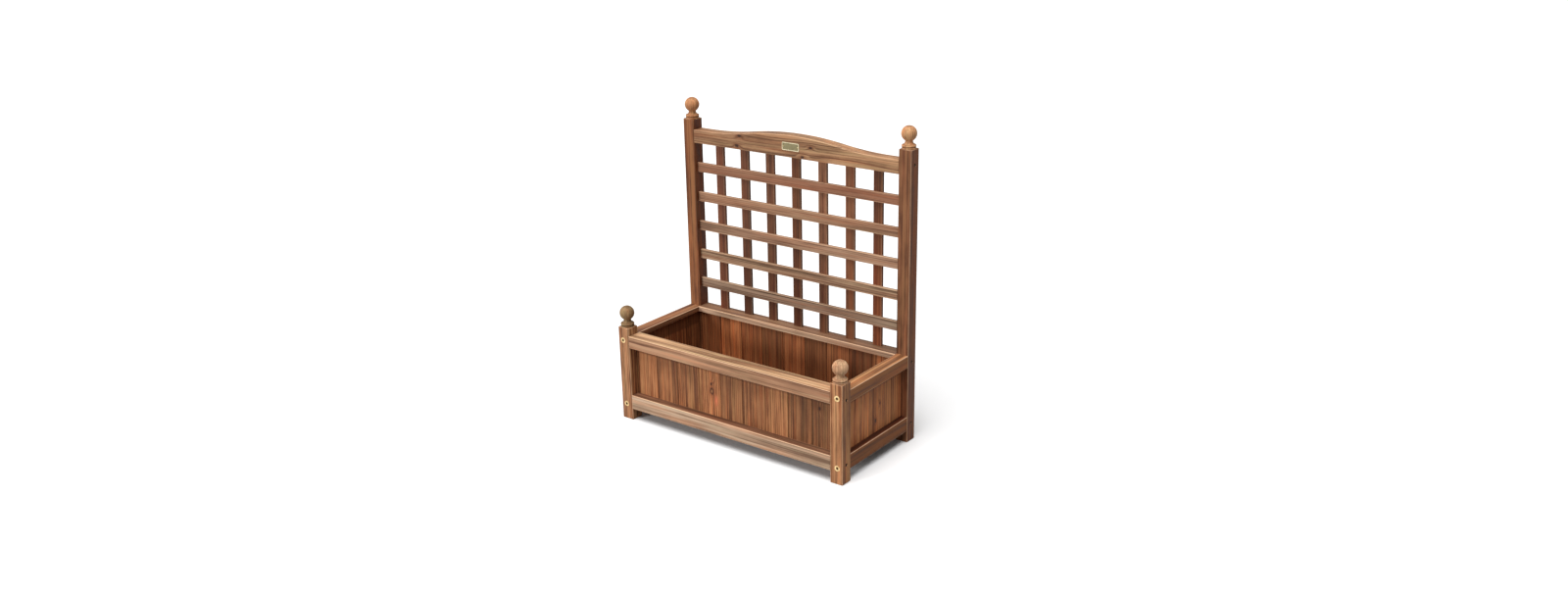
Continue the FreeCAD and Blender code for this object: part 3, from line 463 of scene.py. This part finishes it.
def dress_wood(node, axes, stain, tone=1.0, face=-1, pitch=0.0, tones=(), ring=4.2 * MM,
               wander=5 * MM, tilt=0.012, lines=0.6, bands=0.7, streaks=1.5, seams=False, wear_and_highlight=0.5,
               square=True, inner=None, ledge=None, flank=None, fade=None, under=None):
    """Dresses a node in stained softwood, cut from a log whose year rings run along the piece.

    The grain is solid, so that it goes round the edges as it does in real timber.

    stain, tone: the middle tone as a screen colour, and a gain on it.
    face: the end of the depth, -1 or 1, on which the knots show.
    pitch, tones: of the boards, where one node holds several.
    ring, wander, tilt: the rings' pitch, how far they sway and how far they lean at most.
    lines, bands, streaks: how strongly the rings, and noise from broad to fine, mark the stain.
    seams: whether stain gathers at the long edges of boards.
    worn, square, inner: how far rubbed edges pale, from wear and a painted highlight, and which edges
    those are, as in rubbed.
    ledge, flank: gains on the faces that look up or down, and on those that look along X. They are
    painted light and shade, except on bottom rails, where ledge makes those faces darker.
    fade: gains at the low end of the piece.
    under: the height of a rail's underside, below which a painted shadow lies as a dark line on the
    piece.
    """
    tree = Timber(node, axes)
    toned = (tone, tone, tone)
    pale, middle, dark = (linear(stain, [gain * tone for gain in gains])
                          for gains in (PALE, (1.0, 1.0, 1.0), DARK))

    # The grain's coordinates: as they are, moved board by board, and swaying
    plain = tree.join(tree.along, tree.across, tree.depth)
    if pitch:
        grain, board_tone, from_seam = tree.boards(plain, pitch, tones)
    else:
        grain, board_tone = plain, None
        from_seam = tree.math("SUBTRACT", tree.half_wide, tree.math("ABSOLUTE", tree.across))
    bent = tree.wandering(grain, wander)

    # Knots, and the rings that go round them
    knots = KNOTS.get(node, ())
    core, halo, swell, heart = tree.knot_fields(plain, knots, face)
    late = tree.rings(bent, swell, ring, tilt)

    # How dark the stain lies: 0 pale, 0.5 middle, 1 dark. The level brings its mean to middle
    streak = tree.spots(bent, STREAK_SPOTS)
    fibre = tree.spots(bent, FIBRE_SPOTS, 3.0, 0.6)
    shares = ((tree.spots(bent, BAND_SPOTS, 2.0), bands), (streak, STREAK_SHARE * streaks),
              (fibre, FIBRE_SHARE * streaks), (tree.spots(grain, CLOUD_SPOTS), CLOUD_SHARE * streaks))
    level = 0.5 - MEAN_RING * lines - sum(share for _, share in shares) / 2
    stained = tree.math("MULTIPLY_ADD", late, lines, level)
    for field, share in shares:
        stained = tree.math("MULTIPLY_ADD", field, share, stained)
    if seams:
        ragged = tree.math("MULTIPLY_ADD", fibre, SEAM_RAGGED, from_seam)
        stained = tree.math("ADD", stained, tree.step(ragged, *SEAM_EDGE, SEAM_DARK, 0.0))
    colour = tree.ramp(stained, list(zip(STAIN_STOPS, (pale, middle, dark))))

    # The hue drifts from streak to streak
    warm = tree.spots(bent, HUE_SPOTS, 2.0, offset=HUE_OFFSET)
    colour = tree.tint(tree.step(warm, *REDDER_EDGE, 0.0, HUE_SHARE), colour, REDDER)
    colour = tree.tint(tree.step(warm, *GREENER_EDGE, 0.0, HUE_SHARE), colour, GREENER)
    if board_tone:
        colour = tree.mix(1.0, colour, board_tone, "MULTIPLY")

    # Flames and knots
    for flame_along, flame_across, length, width in FLAMES.get(node, ()):
        gap = tree.vector("SUBTRACT", bent, (flame_along, flame_across, 0.0))
        reach = tree.length(tree.vector("MULTIPLY", gap, (1 / length, 1 / width, 0.0)))
        reach = tree.math("MULTIPLY_ADD", streak, FLAME_RAGGED, reach)
        share = tree.step(reach, *FLAME_EDGE, FLAME_SHARE, 0.0)
        colour = tree.mix(share, colour, linear(FLAME, toned))
    if knots:
        colour = tree.mix(tree.math("MULTIPLY", halo, HALO_SHARE), colour, linear(KNOT_HALO, toned))
        colour = tree.mix(tree.math("MULTIPLY", core, DARK_SHARE), colour, linear(KNOT_DARK))
        colour = tree.mix(tree.math("MULTIPLY", heart, HEART_SHARE), colour, linear(KNOT_HEART))

    # End grain drinks more stain. On the other faces: painted light and shade by the way they look, a
    #     # painted shadow under a top rail, and gains at a piece's low end
    facing = [tree.step(normal, *FACING) for normal in tree.normals]
    colour = tree.mix(tree.math("MULTIPLY", facing[axes[0]], END_GRAIN_SHARE), colour, dark)
    # Painted light and shade on faces that look up or down (on bottom rails just darker)
    if ledge:
        colour = tree.tint(facing[2], colour, ledge)
    # Painted shadow: a dark line on the piece just below a top rail
    if under:
        height = tree.split(tree.here)[2]
        shade = tree.step(height, under - UNDER_SHADE_START, under - UNDER_SHADE_FULL, 0.0, UNDER_SHADE_SHARE)
        colour = tree.mix(shade, colour, linear(stain, [gain * tone * UNDER_SHADE_GAIN for gain in DARK]))
    # Painted light and shade on the faces that look along X
    if flank:
        colour = tree.tint(facing[0], colour, flank)
    if fade:
        low_end = tree.step(tree.along, -tree.half_long, tree.half_long, 1.0, 0.0)
        colour = tree.tint(low_end, colour, fade)

    # Pale edges: wear, with a painted highlight where the light catches them
    if wear_and_highlight:
        rub_and_highlight = tree.rubbed(grain, square, inner)
        colour = tree.mix(tree.math("MULTIPLY", rub_and_highlight, wear_and_highlight), colour, linear(WEAR_AND_HIGHLIGHT, toned))

    tree.connect("Base Color", colour)
    tree.connect("Roughness", tree.math("MULTIPLY_ADD", stained, STAIN_SMOOTHS, ROUGHNESS))
    relief = tree.math("MULTIPLY_ADD", fibre, FIBRE_RELIEF, tree.math("MULTIPLY", late, RING_RELIEF))
    tree.bump(RELIEF, RELIEF_HEIGHT, tree.math("MULTIPLY_ADD", streak, FIBRE_RELIEF, relief))
    tree.shader.inputs["Specular IOR Level"].default_value = SPECULAR
    dress(node, tree.material)


def shade_bolt_heads(tree, here, colour):
    """Paints shade into the sockets of the corner bolts, and into the dish round each socket."""
    (_, _, low), (right, back, high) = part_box("corner_bolts")
    floor = back - SOCKET_DEPTH
    x, y, z = tree.split(here)
    sunk = tree.step(tree.math("ABSOLUTE", y), floor - SOCKET_BLUR, floor, 1.0, 0.0)
    colour = tree.mix(sunk, colour, linear(SOCKET_SHADE))
    off_x = tree.math("SUBTRACT", tree.math("ABSOLUTE", x), right - BOLT_HEAD_RADIUS)
    off_low = tree.math("ABSOLUTE", tree.math("SUBTRACT", z, low + BOLT_HEAD_RADIUS))
    off_high = tree.math("ABSOLUTE", tree.math("SUBTRACT", z, high - BOLT_HEAD_RADIUS))
    radius = tree.hypotenuse(off_x, tree.math("MINIMUM", off_low, off_high))
    return tree.mix(tree.step(radius, *DISH_EDGE, DISH_SHARE, 0.0), colour, linear(DISH_SHADE))


def metal(name, bright, dull, roughness, scale, shade=None):
    """Worn metal: clouds of tarnish and fine scratches. shade is a function that paints shade on it.
    """
    tree = Tree(name)
    here = tree.place()
    cloud = tree.noise(tree.vector("MULTIPLY", here, (scale, scale, scale)), 4.0, 0.6)
    scratch = tree.noise(tree.vector("MULTIPLY", here, (scale * 2, scale * 14, scale * 30)), 2.0, 0.6)
    tarnish = tree.step(tree.math("MULTIPLY_ADD", scratch, 0.35, cloud), 0.45, 0.95)
    colour = tree.mix(tarnish, linear(bright), linear(dull))
    if shade:
        colour = shade(tree, here, colour)
    tree.connect("Base Color", colour)
    tree.connect("Roughness", tree.math("MULTIPLY_ADD", tarnish, 0.25, roughness))
    tree.bump(0.3, 0.05 * MM, scratch)
    tree.shader.inputs["Metallic"].default_value = 1.0
    return tree.material


def plate_brass():
    """Aged brass: the plate's rim rubbed bright, its sunk field dull and mottled."""
    tree = Tree("aged_brass")
    here = tree.place()
    cloud = tree.noise(tree.vector("MULTIPLY", here, (50, 50, 50)), 3.0, 0.5)
    brushed = tree.noise(tree.vector("MULTIPLY", here, (90, 900, 2600)), 2.0, 0.6)
    tarnish = tree.math("MULTIPLY_ADD", brushed, 0.15, tree.math("MULTIPLY", cloud, 0.85))
    fresh, dull = PLATE_FIELD
    field = tree.mix(tree.step(tarnish, 0.40, 0.80), linear(fresh), linear(dull))
    fresh, dull = PLATE_RIM
    rim = tree.mix(tree.step(tarnish, 0.40, 0.85), linear(fresh), linear(dull))
    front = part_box("nameplate")[0][1]
    sunk = tree.step(tree.split(here)[1], *(front + depth for depth in RIM_EDGE))
    tree.connect("Base Color", tree.mix(sunk, rim, field))
    tree.connect("Roughness", tree.math("MULTIPLY_ADD", tarnish, 0.3, 0.32))
    tree.bump(0.35, 0.06 * MM, tarnish)
    tree.shader.inputs["Metallic"].default_value = 0.85
    return tree.material


def dress_box():
    """The posts with their finials, the rails, the boards and the floor."""
    for node, stain in POSTS.items():
        inner = (1 if "left" in node else -1, 1 if "front" in node else -1)
        dress_wood(node, UPRIGHT_X, stain, lines=0.5, bands=1.6, streaks=2.1, tilt=0.006,
                   inner=inner, flank=FLANK_LIGHT_AND_SHADE[node])
    for node, stain in FINIALS.items():
        dress_wood(node, UPRIGHT_X, stain, ring=3 * MM, wear_and_highlight=0, lines=0.5, streaks=0.9)
    dress_wood("finial_dowels", UPRIGHT_X, FINIALS["front_right_finial"])
    for node, stain in RAILS.items():
        dress_wood(node, FLAT_X if node.startswith(("front", "rear")) else FLAT_Y, stain,
                   ring=9 * MM, tilt=0.004, lines=0.3, bands=1.4 if node == "rear_top_rail" else 2.6,
                   streaks=0.9, wear_and_highlight=0.8, ledge=TOP_LIGHT_AND_SHADE.get(node, BOTTOM_LEDGE))
    for i, tone in enumerate(FRONT_BOARD_TONES):
        dress_wood(f"front_board_{i + 1}", UPRIGHT_X, FRONT_BOARD, tone=tone, bands=1.3, streaks=1.8,
                   seams=True, wear_and_highlight=0, under=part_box("front_top_rail")[0][2])
    for i, tone in enumerate(REAR_BOARD_TONES):
        dress_wood(f"rear_board_{i + 1}", UPRIGHT_X, REAR_BOARD, tone=tone, bands=1.0, seams=True,
                   wear_and_highlight=0)
    for side, stain in SIDE_BOARDS.items():
        dress_wood(f"{side}_side_boards", UPRIGHT_Y, stain, pitch=SIDE_BOARD_PITCH,
                   tones=SIDE_BOARD_TONES, face=1 if side == "right" else -1, bands=1.2,
                   streaks=1.7, seams=True, wear_and_highlight=0, under=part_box(f"{side}_top_rail")[0][2])
    dress_wood("floor_boards", FLOOR_Y, FLOOR_BOARD, pitch=FLOOR_BOARD_PITCH, tones=FLOOR_TONES,
               wear_and_highlight=0)
    dress_wood("floor_cleats", FLAT_X, FLOOR_BOARD)


def dress_trellis():
    """The arched rail and the slats."""
    dress_wood("arched_rail", FLAT_X, ARCH, ring=6 * MM, wander=14 * MM, tilt=0.006, bands=1.6,
               square=False, fade=ARCH_FADE)
    for i, stain in enumerate(FLAT_SLATS):
        dress_wood(f"flat_slat_{i + 1}", FLAT_X, stain, tilt=0.004, bands=1.8, streaks=1.2)
    for i, stain in enumerate(UPRIGHT_SLATS):
        dress_wood(f"upright_slat_{i + 1}", UPRIGHT_X, stain, lines=0.5, streaks=1.3, wear_and_highlight=0.25,
                   fade=[gain * FOOT_TONES[i] for gain in FOOT_FADE])


def dress_metal():
    """The plate, and the fasteners that show and that don't."""
    dress("nameplate", plate_brass())
    dress("nameplate_pins", metal("pin_brass", (206, 190, 140), (120, 100, 60), 0.35, 200))
    dress("corner_bolts", metal("bolt_brass", (232, 206, 156), (170, 136, 88), 0.36, 150,
                                shade_bolt_heads))
    dress("frame_screws", metal("dark_steel", (58, 50, 44), (26, 20, 17), 0.5, 200))
    for name in ("barrel_nuts", "cleat_screws", "trellis_brads"):
        dress(name, metal("zinc_" + name, (190, 190, 186), (120, 118, 112), 0.4, 150))


def sun(name, strength, source, angle):
    """A far lamp whose light comes from that direction, as wide as angle."""
    lamp = bpy.data.lights.new(name, "SUN")
    lamp.energy = strength
    lamp.angle = math.radians(angle)
    holder = bpy.data.objects.new(name, lamp)
    x, y, z = source
    holder.rotation_euler = (math.atan2(math.hypot(x, y), z), 0.0, math.atan2(y, x) + math.pi / 2)
    bpy.context.scene.collection.objects.link(holder)


def light_path(nodes, links):
    """1 for rays that see the scene straight, or in a reflection or through glass."""
    path = nodes.new("ShaderNodeLightPath")
    total = path.outputs["Is Camera Ray"]
    for name in ("Is Glossy Ray", "Is Transmission Ray"):
        either = nodes.new("ShaderNodeMath")
        either.operation = "MAXIMUM"
        links.new(total, either.inputs[0])
        links.new(path.outputs[name], either.inputs[1])
        total = either.outputs[0]
    return total


def make_world():
    """A glow that lights the scene a little, but is seen as white."""
    world = bpy.data.worlds.new("studio")
    bpy.context.scene.world = world
    world.use_nodes = True
    nodes = world.node_tree.nodes
    links = world.node_tree.links
    background = nodes["Background"]
    background.inputs["Color"].default_value = (1, 1, 1, 1)
    strength = nodes.new("ShaderNodeMapRange")
    strength.inputs["To Min"].default_value = GLOW
    strength.inputs["To Max"].default_value = 1.0
    links.new(light_path(nodes, links), strength.inputs["Value"])
    links.new(strength.outputs[0], background.inputs["Strength"])


def make_floor():
    half = FLOOR_SPAN / 2
    data = bpy.data.meshes.new("floor")
    corners = [(-half, -half), (half, -half), (half, half), (-half, half)]
    data.from_pydata([(x, y, -FLOOR_DROP) for x, y in corners], [], [(0, 1, 2, 3)])
    floor = bpy.data.objects.new("floor", data)
    bpy.context.scene.collection.objects.link(floor)
    tree = Tree("pale_floor")
    seen = light_path(tree.nodes, tree.links)
    tree.connect("Base Color", tree.mix(seen, grey(FLOOR_BOUNCE), grey(FLOOR_SEEN)))
    tree.shader.inputs["Roughness"].default_value = 1.0
    tree.shader.inputs["Specular IOR Level"].default_value = 0.0
    data.materials.append(tree.material)


def make_camera():
    data = bpy.data.cameras.new("camera")
    data.sensor_width = CAMERA_FRAME
    data.sensor_fit = "HORIZONTAL"
    data.lens = CAMERA_LENS
    camera = bpy.data.objects.new("camera", data)
    turn = Matrix.Rotation(math.radians(CAMERA_YAW), 4, "Z")
    tip = Matrix.Rotation(math.radians(90 - CAMERA_PITCH), 4, "X")
    roll = Matrix.Rotation(math.radians(CAMERA_ROLL), 4, "Z")
    camera.matrix_world = Matrix.Translation(CAMERA_PLACE) @ turn @ tip @ roll
    bpy.context.scene.collection.objects.link(camera)
    bpy.context.scene.camera = camera


dress_box()
dress_trellis()
dress_metal()
make_world()
make_floor()
sun("key", KEY_STRENGTH, KEY_FROM, KEY_ANGLE)
sun("overhead", TOP_STRENGTH, TOP_FROM, TOP_ANGLE)
make_camera()
bpy.context.scene.view_settings.view_transform = "Standard"
